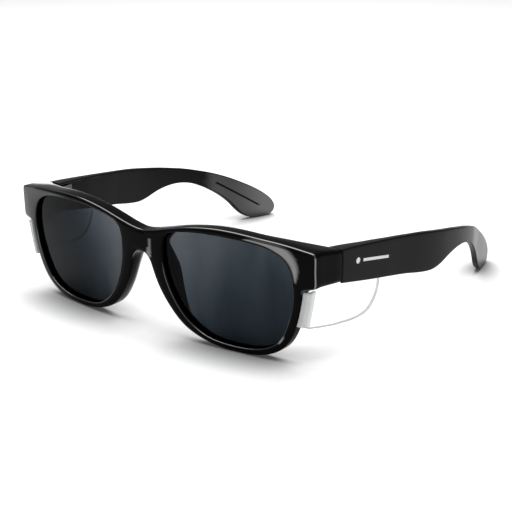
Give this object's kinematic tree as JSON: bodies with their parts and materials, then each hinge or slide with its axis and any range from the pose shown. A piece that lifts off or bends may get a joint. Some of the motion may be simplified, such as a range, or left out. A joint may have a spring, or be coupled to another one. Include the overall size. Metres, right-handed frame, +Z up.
{
  "type": "safety glasses",
  "caption": "Safety glasses with dark tinted lenses in a wide black plastic front, hinged temples with drooping ear tips, and clear side shields that fold away with the temples.",
  "frame": {"origin": "middle of the footprint with the temples open, on the level the rims and ear tips rest on", "axes": "+X towards the wearer's left, +Y back along the temples, +Z up"},
  "size_m": [0.1544, 0.1542, 0.0458],
  "materials": {
    "black_gloss_plastic": "polished",
    "black_satin_plastic": "satin",
    "tinted_lens": "polished",
    "clear_plastic": "polished",
    "blackened_steel": "satin"
  },
  "bodies": {
    "front": {"front_frame": "black_gloss_plastic", "lens_left": "tinted_lens", "lens_right": "tinted_lens", "front_hinge_left": "blackened_steel", "front_hinge_right": "blackened_steel", "front_rivet_left_lower": "blackened_steel", "front_rivet_left_upper": "blackened_steel", "front_rivet_right_lower": "blackened_steel", "front_rivet_right_upper": "blackened_steel", "hinge_screw_left": "blackened_steel", "hinge_screw_right": "blackened_steel"},
    "left_temple": {"temple_left": "black_satin_plastic", "side_shield_left": "clear_plastic", "temple_hinge_left": "blackened_steel", "temple_rivet_left_lower": "blackened_steel", "temple_rivet_left_upper": "blackened_steel", "shield_screw_left_front": "blackened_steel", "shield_screw_left_rear": "blackened_steel"},
    "right_temple": {"temple_right": "black_satin_plastic", "side_shield_right": "clear_plastic", "temple_hinge_right": "blackened_steel", "temple_rivet_right_lower": "blackened_steel", "temple_rivet_right_upper": "blackened_steel", "shield_screw_right_front": "blackened_steel", "shield_screw_right_rear": "blackened_steel"}
  },
  "joints": [
    {"name": "left_temple_fold", "type": "hinge", "parent": "front", "child": "left_temple", "pos_m": [0.0674, -0.05434, 0.0345], "axis": [0, 0, 1], "range_deg": [0, 90]},
    {"name": "right_temple_fold", "type": "hinge", "parent": "front", "child": "right_temple", "pos_m": [-0.0674, -0.05434, 0.0345], "axis": [0, 0, 1], "range_deg": [-80, 0]}
  ]
}
